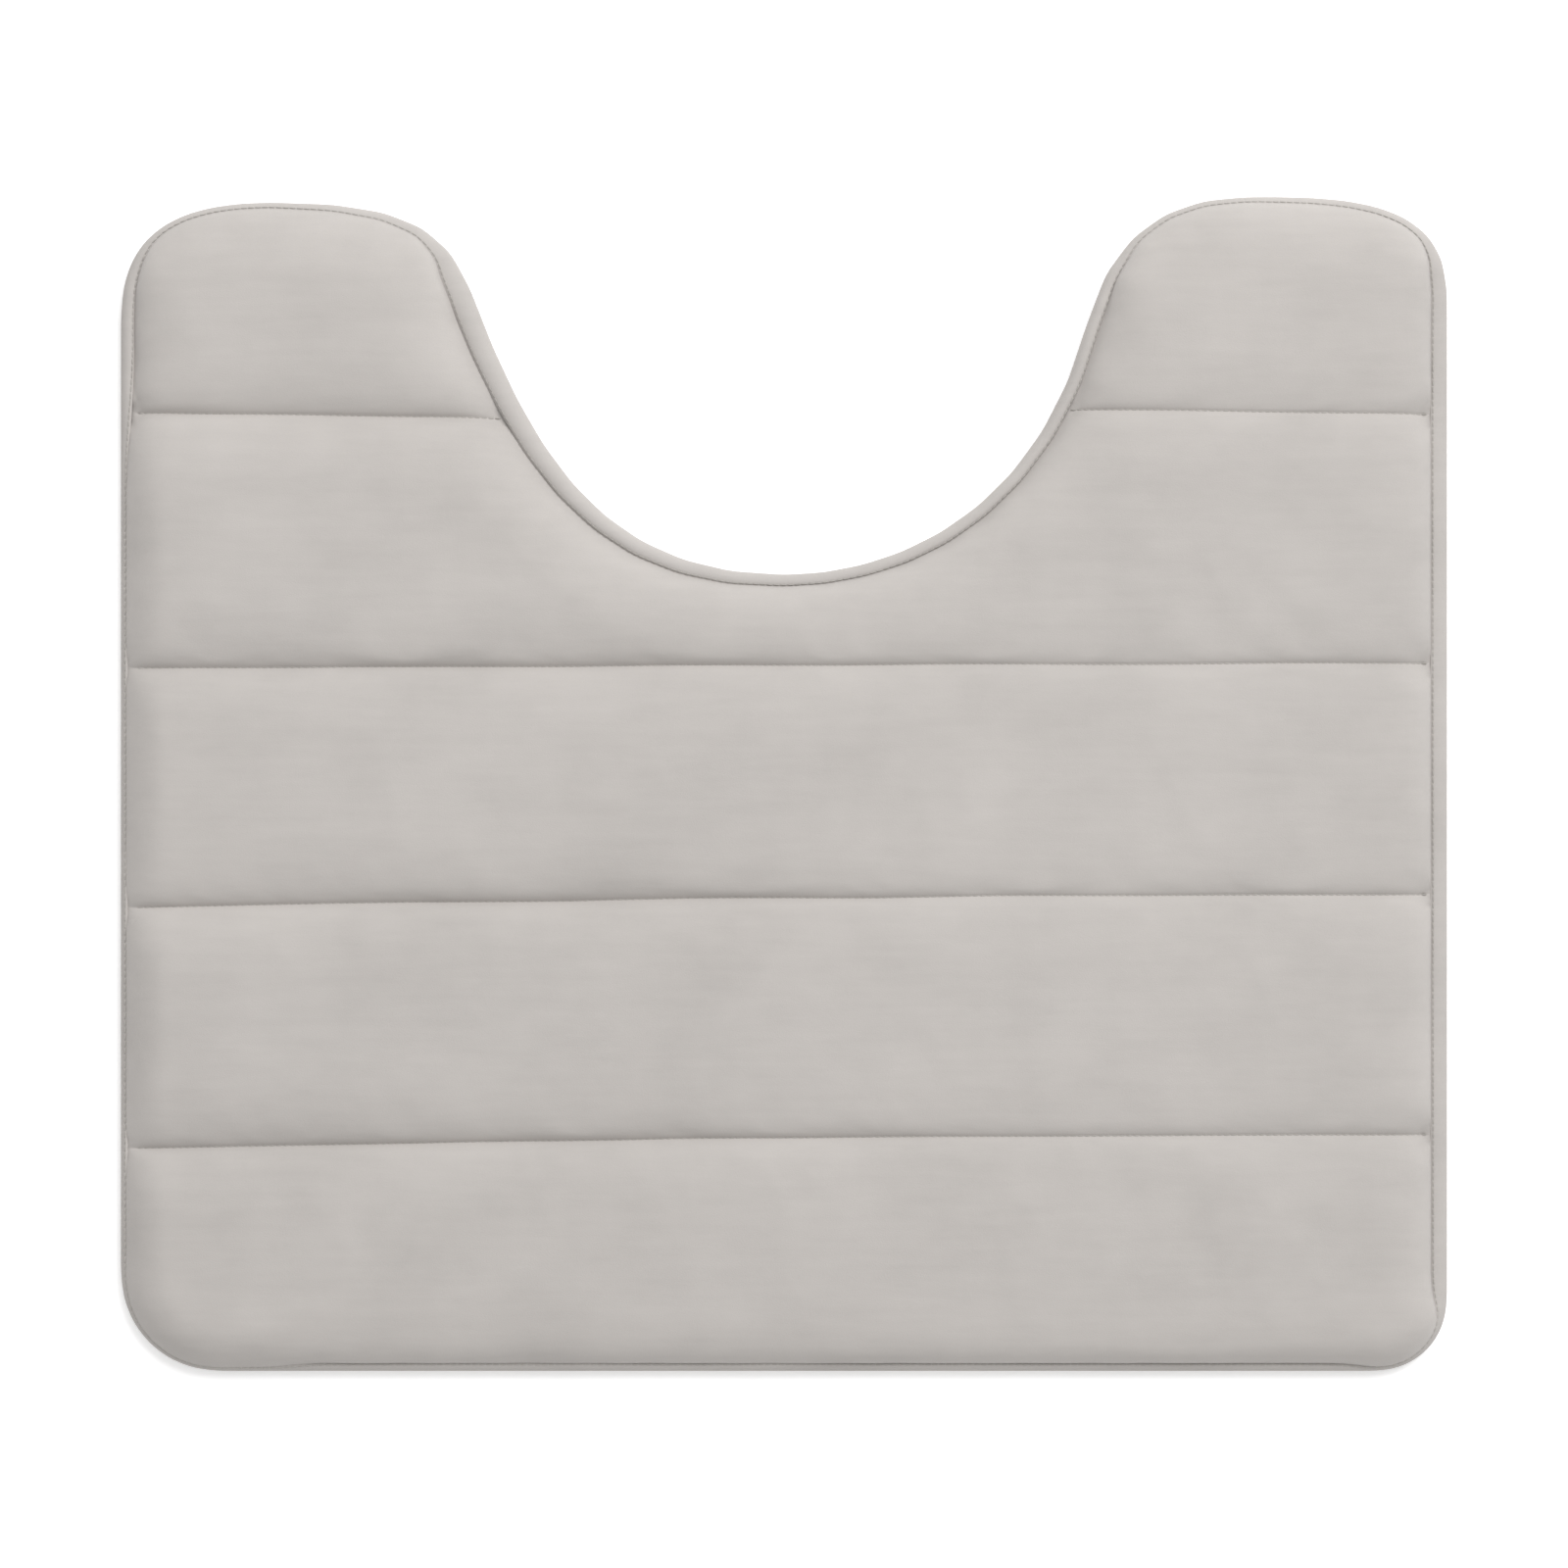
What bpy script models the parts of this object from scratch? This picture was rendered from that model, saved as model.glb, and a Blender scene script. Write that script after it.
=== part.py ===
"""Contour bath mat: quilted memory foam with a U-shaped cut-out for a toilet pedestal.

Metres, +Z up. The origin is on the floor under the middle of the mat's bounding box. +Y points
to the cut-out and +X to the right of a person who stands on the mat and faces it.

From the floor up, the mat is a print of grip dots, a backing fabric, a foam core and a velvet
cover. Five lockstitched seams quilt the cover, the foam and the backing into six padded panels,
and a folded strip of the same velvet binds their pinched edges all the way round.
"""

import math
from typing import NamedTuple

import bpy
import numpy as np
from mathutils import Vector
from mathutils.geometry import delaunay_2d_cdt, interpolate_bezier

# Overall size
WIDTH = 0.610
DEPTH = 0.540
HEIGHT = 0.020
GAP = 0.0003

# Layers, as heights above the floor where the mat is flat
DOTS_HEIGHT = 0.0008
BACKING_BOTTOM = 0.0011
BACKING_THICKNESS = 0.0006
COVER_THICKNESS = 0.0015
PINCH_TOP = 0.0067
RIM_LIFT = 0.0018
RIM_LIFT_REACH = 0.012
PILLOW_REACH = 0.018

# Binding: a strip rolled round the edge, open towards the mat
BINDING_THICKNESS = 0.0012
BINDING_MIDDLE = 0.0049
BINDING_RADIUS = 0.0034
BINDING_LIP_ANGLE = math.radians(127.5)
BINDING_LIP_CLEARANCE = 0.0009
BINDING_SIDES = 6

# Threads
THREAD_RADIUS = 0.00025
NEEDLE_THREAD_Z = 0.0080
BOBBIN_THREAD_Z = 0.00055
BINDING_STITCH_ANGLE = math.radians(122)
SEAM_END_INSET = 0.0015

# Grip dots: how far the print stays from the binding and from the seams
PRINT_RIM_MARGIN = 0.012
PRINT_SEAM_MARGIN = 0.004

# The outline's foot of the cut-out, and the number of steps along each stretch of one half
FOOT_Y = 0.0962
FLANK_STEPS = 9
SHOULDER_STEPS = 5
LOBE_STEPS = 8
SIDE_STEPS = 14
CORNER_STEPS = 6
FRONT_STEPS = 9

# Mesh of the layers: every panel has a contour line at each of these depths from its border,
# as (depth, every how many outline points), and a row of points through its middle
CONTOURS = ((0.0040, 1), (0.0120, 2))
PANEL_MIDDLES = (0.222, 0.112, 0.001, -0.110, -0.216)
COLUMN_SPACING = 0.030
CONTOUR_SEAM_CLEARANCE = 0.0035
PANEL_ROW_CLEARANCE = 0.0200


class Side(NamedTuple):
    """One half of the outline, in its own mirrored frame where x grows towards the mat's side."""

    sign: int
    foot_reach: float
    shoulder: tuple
    flank_lean: float
    flank_reach: float
    shoulder_reach: float
    lobe_top: tuple
    top_reach_in: float
    top_reach_out: float
    side_top: float
    side_reach: float
    corner_radius: float
    binding_flank: float
    binding_side: float


LEFT = Side(
    sign=-1,
    foot_reach=0.078,
    shoulder=(0.1445, 0.228),
    flank_lean=math.radians(70),
    flank_reach=0.090,
    shoulder_reach=0.034,
    lobe_top=(0.236, 0.2675),
    top_reach_in=0.0535,
    top_reach_out=0.040,
    side_top=0.2155,
    side_reach=0.041,
    corner_radius=0.044,
    binding_flank=0.0110,
    binding_side=0.0065,
)
RIGHT = Side(
    sign=1,
    foot_reach=0.052,
    shoulder=(0.1395, 0.212),
    flank_lean=math.radians(75.5),
    flank_reach=0.090,
    shoulder_reach=0.045,
    lobe_top=(0.2125, DEPTH / 2),
    top_reach_in=0.0335,
    top_reach_out=0.038,
    side_top=0.227,
    side_reach=0.045,
    corner_radius=0.032,
    binding_flank=0.0055,
    binding_side=0.0080,
)
BINDING_FOOT = 0.0050
BINDING_LOBE_TOP = 0.0050
BINDING_FRONT = 0.0046


class Seam(NamedTuple):
    """A quilting seam: the straight line through two points near the binding."""

    name: str
    left: tuple
    right: tuple

    def y_at(self, x):
        (x0, y0), (x1, y1) = self.left, self.right
        return y0 + (y1 - y0) * (x - x0) / (x1 - x0)

    def moved(self, distance):
        """The same line, this far towards the cut-out."""
        (x0, y0), (x1, y1) = self.left, self.right
        return Seam(self.name, (x0, y0 + distance), (x1, y1 + distance))


SEAMS = (
    Seam("left_lobe", (-0.295, 0.1703), (-0.126, 0.1680)),
    Seam("right_lobe", (0.126, 0.1722), (0.295, 0.1697)),
    Seam("rear", (-0.295, 0.0532), (0.295, 0.0555)),
    Seam("middle", (-0.295, -0.0560), (0.295, -0.0502)),
    Seam("front", (-0.295, -0.1664), (0.295, -0.1604)),
)
LEFT_LOBE_SEAM, RIGHT_LOBE_SEAM, REAR_SEAM, MIDDLE_SEAM, FRONT_SEAM = SEAMS


# Outline


def straight(start, end, steps):
    """Points from start towards end, without the end."""
    return [Vector(start).lerp(Vector(end), i / steps) for i in range(steps)]


def bezier(start, start_handle, end_handle, end, steps):
    """Points along a cubic curve, without its end."""
    knots = [Vector(p).to_3d() for p in (start, start_handle, end_handle, end)]
    return [p.to_2d() for p in interpolate_bezier(*knots, steps + 1)[:-1]]


def corner_arc(centre, radius, steps):
    """A quarter circle from pointing along +X to pointing along -Y, without its end."""
    angles = [-i / steps * math.pi / 2 for i in range(steps)]
    return [Vector(centre) + radius * Vector((math.cos(a), math.sin(a))) for a in angles]


def blend(start, end, count):
    return [start + (end - start) * i / count for i in range(count)]


def half_outline(side):
    """(x, y, binding width) rows from the foot of the cut-out to the middle of the front edge."""
    edge = WIDTH / 2
    front = -DEPTH / 2
    lean = Vector((math.cos(side.flank_lean), math.sin(side.flank_lean)))
    foot = Vector((0, FOOT_Y))
    shoulder = Vector(side.shoulder)
    top = Vector(side.lobe_top)
    side_top = Vector((edge, side.side_top))
    corner_start = Vector((edge, front + side.corner_radius))
    corner_end = Vector((edge - side.corner_radius, front))

    foot_handle = foot + Vector((side.foot_reach, 0))
    flank_handle = shoulder - side.flank_reach * lean
    points = bezier(foot, foot_handle, flank_handle, shoulder, FLANK_STEPS)
    shoulder_handle = shoulder + side.shoulder_reach * lean
    inner_top_handle = top - Vector((side.top_reach_in, 0))
    points += bezier(shoulder, shoulder_handle, inner_top_handle, top, SHOULDER_STEPS)
    outer_top_handle = top + Vector((side.top_reach_out, 0))
    side_handle = side_top + Vector((0, side.side_reach))
    points += bezier(top, outer_top_handle, side_handle, side_top, LOBE_STEPS)
    points += straight(side_top, corner_start, SIDE_STEPS)
    corner_centre = (corner_end.x, corner_start.y)
    points += corner_arc(corner_centre, side.corner_radius, CORNER_STEPS)
    points += straight(corner_end, (0, front), FRONT_STEPS)

    widths = blend(BINDING_FOOT, side.binding_flank, FLANK_STEPS)
    widths += blend(side.binding_flank, BINDING_LOBE_TOP, SHOULDER_STEPS)
    widths += blend(BINDING_LOBE_TOP, side.binding_side, LOBE_STEPS)
    widths += [side.binding_side] * SIDE_STEPS
    widths += blend(side.binding_side, BINDING_FRONT, CORNER_STEPS)
    widths += [BINDING_FRONT] * FRONT_STEPS
    return [(side.sign * p.x, p.y, w) for p, w in zip(points, widths)]


def mat_outline():
    """The mat's edge as (points, binding widths), anticlockwise from the foot of the cut-out."""
    left = half_outline(LEFT)
    right = half_outline(RIGHT)
    front_middle = [(0.0, -DEPTH / 2, BINDING_FRONT)]
    rows = np.array(left + front_middle + right[:0:-1])
    return rows[:, :2], rows[:, 2]


def inward_normals(loop):
    """Unit vectors to the left of the direction of travel, which is inside on an anticlockwise loop."""
    along = np.roll(loop, -1, axis=0) - np.roll(loop, 1, axis=0)
    along /= np.linalg.norm(along, axis=1, keepdims=True)
    return np.column_stack([-along[:, 1], along[:, 0]])


def inset(loop, amounts):
    return loop + inward_normals(loop) * np.reshape(amounts, (-1, 1))


def distance_to(points, loop):
    """Shortest distance from each point to the closed loop."""
    start = loop
    run = np.roll(loop, -1, axis=0) - start
    offset = points[:, None] - start
    share = np.clip((offset * run).sum(2) / (run**2).sum(1), 0, 1)
    return np.linalg.norm(offset - share[..., None] * run, axis=2).min(1)


def is_inside(points, loop):
    """Which points lie inside the closed loop."""
    x, y = points[:, :1], points[:, 1:]
    start, end = loop, np.roll(loop, -1, axis=0)
    spans = (start[:, 1] > y) != (end[:, 1] > y)
    rise = np.where(end[:, 1] == start[:, 1], 1.0, end[:, 1] - start[:, 1])
    crossing = start[:, 0] + (y - start[:, 1]) * (end[:, 0] - start[:, 0]) / rise
    return (spans & (x < crossing)).sum(1) % 2 == 1


def inner_depth(points, loop):
    """Distance from the loop, positive inside and zero outside."""
    return np.where(is_inside(points, loop), distance_to(points, loop), 0.0)


# Seams


def seam_stretch(seam, loop):
    """The two points where the seam's line meets the loop, at the ends of this seam."""
    above = loop[:, 1] > seam.y_at(loop[:, 0])
    ends = []
    for i in np.flatnonzero(above != np.roll(above, -1)):
        a, b = loop[i], loop[(i + 1) % len(loop)]
        rise_a, rise_b = a[1] - seam.y_at(a[0]), b[1] - seam.y_at(b[0])
        ends.append(a + (b - a) * rise_a / (rise_a - rise_b))
    nearest = [min(ends, key=lambda p: abs(p[0] - x)) for x in (seam.left[0], seam.right[0])]
    return nearest[0], nearest[1]


def row_of_points(seam, loop):
    """Evenly spaced points along the seam's line, from one side of the loop to the other."""
    start, end = seam_stretch(seam, loop)
    columns = max(2, round((end[0] - start[0]) / COLUMN_SPACING))
    xs = np.linspace(start[0], end[0], columns + 1)
    return np.column_stack([xs, seam.y_at(xs)])


def seam_distance(points, stretches):
    """Distance from each point to the nearest seam."""
    best = np.full(len(points), np.inf)
    for start, end in stretches:
        run = end - start
        share = np.clip((points - start) @ run / (run @ run), 0, 1)
        best = np.minimum(best, np.linalg.norm(points - start - share[:, None] * run, axis=1))
    return best


# Layers


class Quilt:
    """The plan shared by the cover, the foam and the backing, and the heights of its layers."""

    def __init__(self):
        self.outline, self.binding = mat_outline()
        self.ditch = inset(self.outline, self.binding)
        self.cut_edge = inset(self.outline, binding_reach(self.binding) + BINDING_THICKNESS / 2)
        self.stretches = [seam_stretch(seam, self.ditch) for seam in SEAMS]
        self.points, self.faces = self.triangulate()
        self.rim_depth = inner_depth(self.points, self.ditch)
        self.seam_depth = seam_distance(self.points, self.stretches)

    def rings(self):
        """Loops inside the binding, without the points that would crowd a seam."""
        for depth, step in CONTOURS:
            ring = inset(self.ditch, depth)[::step]
            clear = seam_distance(ring, self.stretches) > CONTOUR_SEAM_CLEARANCE
            yield depth, ring[clear]

    def seam_lines(self):
        """Each seam, and the lines beside it that end on the ring of their own depth."""
        for seam in SEAMS:
            yield row_of_points(seam, self.ditch)
        for depth, ring in self.rings():
            for seam in SEAMS:
                yield row_of_points(seam.moved(depth), ring)
                yield row_of_points(seam.moved(-depth), ring)

    def panel_rows(self):
        xs = np.arange(-WIDTH / 2 + COLUMN_SPACING, WIDTH / 2, COLUMN_SPACING)
        for y in PANEL_MIDDLES:
            row = np.column_stack([xs, np.full(len(xs), y)])
            yield row[inner_depth(row, self.ditch) > PANEL_ROW_CLEARANCE]

    def triangulate(self):
        """Plan points and triangles inside the cut edge, with edges along the rings and seams."""
        groups = [self.cut_edge]
        edges = []
        rings = [self.ditch] + [ring for _, ring in self.rings()]
        for closed, lines in ((True, rings), (False, self.seam_lines())):
            for line in lines:
                first = sum(len(group) for group in groups)
                groups.append(line)
                edges += [(first + i, first + i + 1) for i in range(len(line) - 1)]
                if closed:
                    edges.append((first + len(line) - 1, first))
        groups += self.panel_rows()
        corners = [Vector(p) for p in np.concatenate(groups)]
        border = [list(range(len(self.cut_edge)))]
        verts, _, faces, *_ = delaunay_2d_cdt(corners, edges, border, 1, 1e-6)
        return np.array([tuple(v) for v in verts]), faces

    def cover_top(self):
        swell = pillow(self.rim_depth) * pillow(self.seam_depth)
        return PINCH_TOP + (HEIGHT - PINCH_TOP) * swell

    def backing_bottom(self):
        """Flat on the floor side, and drawn up to the middle of the binding at the rim."""
        lift = 1 - np.clip(self.rim_depth / RIM_LIFT_REACH, 0, 1)
        return BACKING_BOTTOM + RIM_LIFT * lift**2 * (3 - 2 * lift)


def pillow(depth):
    """Share of the full swell at this distance from a seam or from the binding."""
    share = np.clip(depth / PILLOW_REACH, 0, 1)
    return np.sqrt(1 - (1 - share) ** 2)


def layer_mesh(name, quilt, bottom, top):
    """A closed sheet between two heights given at each point of the quilt's plan."""
    count = len(quilt.points)
    verts = [(x, y, z) for (x, y), z in zip(quilt.points, bottom)]
    verts += [(x, y, z) for (x, y), z in zip(quilt.points, top)]
    faces = [tuple(reversed(face)) for face in quilt.faces]
    faces += [tuple(i + count for i in face) for face in quilt.faces]
    sides = {(a, b) for face in quilt.faces for a, b in zip(face, face[1:] + face[:1])}
    faces += [(a, b, b + count, a + count) for a, b in sorted(sides) if (b, a) not in sides]
    return mesh_from(name, verts, faces)


def mesh_from(name, verts, faces):
    mesh = bpy.data.meshes.new(name)
    mesh.from_pydata([tuple(v) for v in verts], [], faces)
    mesh.validate()
    mesh.update()
    return mesh


def velvet_cover(quilt):
    top = quilt.cover_top()
    return layer_mesh("velvet_cover", quilt, top - COVER_THICKNESS, top)


def foam_core(quilt):
    bottom = quilt.backing_bottom() + BACKING_THICKNESS + GAP
    return layer_mesh("foam_core", quilt, bottom, quilt.cover_top() - COVER_THICKNESS - GAP)


def backing_fabric(quilt):
    bottom = quilt.backing_bottom()
    return layer_mesh("backing_fabric", quilt, bottom, bottom + BACKING_THICKNESS)


# Binding


def binding_reach(width):
    """Half the roll's depth, along its middle line, for this visible width of binding."""
    lip_share = 1 - math.cos(BINDING_LIP_ANGLE)
    return (width - BINDING_LIP_CLEARANCE - BINDING_THICKNESS / 2) / lip_share


def roll_point(width, angle, offset):
    """(depth from the outer edge, height) on the roll, offset outwards from its middle line."""
    reach = binding_reach(width)
    middle = np.array([-reach * math.cos(angle), BINDING_RADIUS * math.sin(angle)])
    normal = np.array([-math.cos(angle) / reach, math.sin(angle) / BINDING_RADIUS])
    normal /= np.linalg.norm(normal)
    centre = np.array([BINDING_THICKNESS / 2 + reach, BINDING_MIDDLE])
    return centre + middle + offset * normal


def binding_section(width):
    """The strip's closed section: round the outside from the lower lip up, then back inside."""
    angles = np.linspace(-BINDING_LIP_ANGLE, BINDING_LIP_ANGLE, BINDING_SIDES + 1)
    half = BINDING_THICKNESS / 2
    outside = [roll_point(width, a, half) for a in angles]
    inside = [roll_point(width, a, -half) for a in angles[::-1]]
    return outside + inside


def edge_binding(quilt):
    normals = inward_normals(quilt.outline)
    verts = []
    for corner, normal, width in zip(quilt.outline, normals, quilt.binding):
        section = binding_section(width)
        verts += [(*(corner + depth * normal), z) for depth, z in section]
    size = 2 * (BINDING_SIDES + 1)
    stations = len(quilt.outline)
    faces = []
    for i in range(stations):
        here, there = i * size, (i + 1) % stations * size
        for j in range(size):
            k = (j + 1) % size
            faces.append((here + j, there + j, there + k, here + k))
    return mesh_from("edge_binding", verts, faces)


# Threads


def thread_curve(name, points, closed):
    """A thin round thread through the points."""
    curve = bpy.data.curves.new(name, "CURVE")
    curve.dimensions = "3D"
    curve.bevel_depth = THREAD_RADIUS
    curve.bevel_resolution = 0
    curve.use_fill_caps = True
    spline = curve.splines.new("POLY")
    spline.points.add(len(points) - 1)
    for target, point in zip(spline.points, points):
        target.co = (*point, 1.0)
    spline.use_cyclic_u = closed
    return curve


def seam_thread(name, stretch, height):
    start, end = stretch
    inset_step = (end - start) / np.linalg.norm(end - start) * SEAM_END_INSET
    points = [(*(start + inset_step), height), (*(end - inset_step), height)]
    return thread_curve(name, points, False)


def binding_thread(name, quilt, angle):
    """A thread on the lip of the binding, all the way round."""
    normals = inward_normals(quilt.outline)
    offset = BINDING_THICKNESS / 2 + GAP + THREAD_RADIUS
    points = []
    for corner, normal, width in zip(quilt.outline, normals, quilt.binding):
        depth, z = roll_point(width, angle, offset)
        points.append((*(corner + depth * normal), z))
    return thread_curve(name, points, True)


# Grip dots


def clip(loop, start, end):
    """The part of the loop on the left of the line from start to end."""
    start, end = np.array(start), np.array(end)
    along = (end - start) / np.linalg.norm(end - start)
    height = (loop - start) @ np.array([-along[1], along[0]])
    kept = []
    for i in range(len(loop)):
        j = (i + 1) % len(loop)
        if height[i] >= 0:
            kept.append(loop[i])
        if (height[i] >= 0) != (height[j] >= 0):
            kept.append(loop[i] + (loop[j] - loop[i]) * height[i] / (height[i] - height[j]))
    return np.array(kept)


def above(loop, seam):
    shift = np.array([0, PRINT_SEAM_MARGIN])
    return clip(loop, seam.left + shift, seam.right + shift)


def below(loop, seam):
    shift = np.array([0, PRINT_SEAM_MARGIN])
    return clip(loop, seam.right - shift, seam.left - shift)


def print_zones(quilt):
    """The outline of the printed dots under each panel."""
    field = inset(quilt.ditch, PRINT_RIM_MARGIN)
    left_half = clip(field, (0, 0), (0, 1))
    right_half = clip(field, (0, 1), (0, 0))
    rear_arms = below(below(field, LEFT_LOBE_SEAM), RIGHT_LOBE_SEAM)
    return {
        "left_lobe": above(left_half, LEFT_LOBE_SEAM),
        "right_lobe": above(right_half, RIGHT_LOBE_SEAM),
        "rear_panel": above(rear_arms, REAR_SEAM),
        "upper_middle_panel": above(below(field, REAR_SEAM), MIDDLE_SEAM),
        "lower_middle_panel": above(below(field, MIDDLE_SEAM), FRONT_SEAM),
        "front_panel": below(field, FRONT_SEAM),
    }


def grip_dots(name, zone):
    """The zone's print as one thin slab, flat on the floor."""
    count = len(zone)
    verts = [(x, y, 0.0) for x, y in zone]
    verts += [(x, y, DOTS_HEIGHT) for x, y in zone]
    faces = [tuple(range(count - 1, -1, -1)), tuple(range(count, 2 * count))]
    faces += [(i, (i + 1) % count, (i + 1) % count + count, i + count) for i in range(count)]
    return mesh_from(name, verts, faces)


# Materials


def material(name, colour, roughness):
    made = bpy.data.materials.new(name)
    made.use_nodes = True
    shader = made.node_tree.nodes["Principled BSDF"]
    shader.inputs["Base Color"].default_value = (*colour, 1.0)
    shader.inputs["Roughness"].default_value = roughness
    shader.inputs["Metallic"].default_value = 0.0
    return made


def mat_materials():
    return {
        "velvet": material("velvet", (0.571, 0.546, 0.514), 0.95),
        "binding": material("binding", (0.545, 0.520, 0.488), 0.95),
        "foam": material("foam", (0.830, 0.780, 0.620), 0.90),
        "backing": material("backing", (0.520, 0.500, 0.465), 0.90),
        "grip_dots": material("grip_dots", (0.700, 0.690, 0.660), 0.45),
        "thread": material("thread", (0.500, 0.475, 0.445), 0.80),
    }


# Assembly


def add_object(name, data, finish, parent):
    data.materials.append(finish)
    added = bpy.data.objects.new(name, data)
    bpy.context.scene.collection.objects.link(added)
    added.parent = parent
    if isinstance(data, bpy.types.Mesh):
        data.shade_smooth()
        data.set_sharp_from_angle(angle=math.radians(40))
    return added


def clear_scene():
    for old in list(bpy.data.objects):
        bpy.data.objects.remove(old, do_unlink=True)


def build():
    clear_scene()
    finish = mat_materials()
    mat = bpy.data.objects.new("bath_mat", None)
    bpy.context.scene.collection.objects.link(mat)

    quilt = Quilt()
    add_object("velvet_cover", velvet_cover(quilt), finish["velvet"], mat)
    add_object("foam_core", foam_core(quilt), finish["foam"], mat)
    add_object("backing_fabric", backing_fabric(quilt), finish["backing"], mat)
    add_object("edge_binding", edge_binding(quilt), finish["binding"], mat)

    heights = {"needle_thread": NEEDLE_THREAD_Z, "bobbin_thread": BOBBIN_THREAD_Z}
    for seam, stretch in zip(SEAMS, quilt.stretches):
        for kind, height in heights.items():
            name = f"{kind}_{seam.name}_seam"
            add_object(name, seam_thread(name, stretch, height), finish["thread"], mat)

    angles = {"needle_thread": BINDING_STITCH_ANGLE, "bobbin_thread": -BINDING_STITCH_ANGLE}
    for kind, angle in angles.items():
        name = f"{kind}_binding"
        add_object(name, binding_thread(name, quilt, angle), finish["thread"], mat)

    for zone_name, zone in print_zones(quilt).items():
        name = f"grip_dots_{zone_name}"
        add_object(name, grip_dots(name, zone), finish["grip_dots"], mat)


build()
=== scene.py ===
import math

import bmesh
import bpy
import numpy as np
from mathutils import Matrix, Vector, noise
from mathutils.bvhtree import BVHTree
from mathutils.geometry import delaunay_2d_cdt
from mathutils.kdtree import KDTree


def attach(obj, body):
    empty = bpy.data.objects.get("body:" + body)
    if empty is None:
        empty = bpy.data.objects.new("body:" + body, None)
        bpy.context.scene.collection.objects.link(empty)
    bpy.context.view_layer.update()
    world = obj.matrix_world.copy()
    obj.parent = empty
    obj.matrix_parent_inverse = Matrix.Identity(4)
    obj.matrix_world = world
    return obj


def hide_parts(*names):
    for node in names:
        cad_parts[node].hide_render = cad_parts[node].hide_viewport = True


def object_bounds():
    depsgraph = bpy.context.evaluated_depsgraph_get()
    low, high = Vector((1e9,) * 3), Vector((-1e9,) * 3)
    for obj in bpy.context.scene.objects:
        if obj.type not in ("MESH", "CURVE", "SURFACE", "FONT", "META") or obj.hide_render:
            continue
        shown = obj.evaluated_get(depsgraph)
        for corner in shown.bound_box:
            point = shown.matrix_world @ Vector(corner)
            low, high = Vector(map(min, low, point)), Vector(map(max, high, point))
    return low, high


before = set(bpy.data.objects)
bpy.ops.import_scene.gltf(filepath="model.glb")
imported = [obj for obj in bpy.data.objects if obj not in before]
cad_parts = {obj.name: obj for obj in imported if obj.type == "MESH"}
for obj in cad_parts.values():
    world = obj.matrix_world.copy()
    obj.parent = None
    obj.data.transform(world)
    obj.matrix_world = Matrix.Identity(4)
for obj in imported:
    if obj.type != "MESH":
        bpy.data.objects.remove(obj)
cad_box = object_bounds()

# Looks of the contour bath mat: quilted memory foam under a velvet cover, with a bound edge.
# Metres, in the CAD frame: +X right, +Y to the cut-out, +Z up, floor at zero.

MM = 0.001

# Layers, from the top down
TOP = cad_box[1].z
COVER_THICKNESS = 1.1 * MM
LAYER_GAP = 0.3 * MM
LEAST_FOAM = 1.0 * MM
BACKING_THICKNESS = 0.6 * MM
DOTS_HEIGHT = 0.8 * MM

# Outline: the CAD's short straight sides are rounded off, and the rim is divided evenly
RIM_STEPS = 880
OUTLINE_BLUR = 3.5 * MM
WIDTH_BLUR = 8 * MM
STATION_REACH = 1.5 * MM

# Binding, its middle line and thickness as in the CAD
ROLL_MIDDLE = 4.9 * MM
ROLL_RADIUS = 3.4 * MM
ROLL_THICKNESS = 1.2 * MM
LOWER_LIP_ANGLE = math.radians(127.5)
LIP_ANGLE = math.radians(112)
LIP_GAP = -0.5 * MM
LIP_CLEARANCE = 0.5 * MM

# Calm stretches of the rim: the panel swells over the binding and hides its seam
ROLL_RADIUS_CALM = 4.2 * MM
LIP_ANGLE_CALM = math.radians(52)
LIP_GAP_CALM = -1.2 * MM
NARROWED = 0.60
RIM_REACH_CALM = 20 * MM
RIM_REACH_CALM_LOBES = 34 * MM
LOBE_TOPS_CALM = 0.75
FRONT_CALM = 0.25

# Deep stretches of the rim: what they add, to make the ditch beside the binding wide and deep
LIP_ANGLE_DEEP = math.radians(26)
ROLL_RADIUS_DEEP = 1.0 * MM
RIM_POWER_DEEP = 0.8
RIM_SOFTNESS_DEEP = 1.6 * MM
RIM_DROP_DEEP = 1.3 * MM
LOBE_SIDE_DEEP = 0.6
STRETCH_BLUR = 6 * MM

# Swell of the panels from the seams and from the rim
SEAM_FLOOR = 11.2 * MM
SEAM_REACH = 38 * MM
SEAM_POWER = 2.5
SEAM_SOFTNESS = 2.4 * MM
RIM_FLOOR = 9.1 * MM
RIM_REACH = 32 * MM
RIM_POWER = 2.5
RIM_SOFTNESS = 2.2 * MM
UNEVEN = 0.10
UNEVEN_X = 60 * MM
UNEVEN_Y = 25 * MM
UNEVEN_SEED = 3.1
CROWN = 0.6 * MM
CROWN_REACH = 54 * MM
CROWN_CLEARANCE = 0.1 * MM
LOWEST_FACE = 6.7 * MM

# The cover's cut edge lies under the binding's lip, this share of the binding's width in
TUCKED_SHARE = 0.55
TUCKED_EDGE = 6.5 * MM
TUCK_REACH = 0.5 * MM

# What the right half's seams add: they are shallower and softer
SEAM_FLOOR_RIGHT = 4.2 * MM
SEAM_POWER_RIGHT = 0.8
SEAM_SOFTNESS_RIGHT = 1.2 * MM

# Where a seam meets the rim
SEAM_END_DROP = 1.0 * MM
SEAM_END_REACH = 7 * MM
DIMPLE_DEPTH = 4.2 * MM
DIMPLE_REACH = 8.5 * MM
DIMPLE_START = 2.5 * MM
DIMPLE_LESS_DEEP = 0.7

# Threads
STITCH_PITCH = 3.2 * MM
THREAD_RADIUS = 0.25 * MM
THREAD_SIDES = 6


# Numbers


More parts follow.
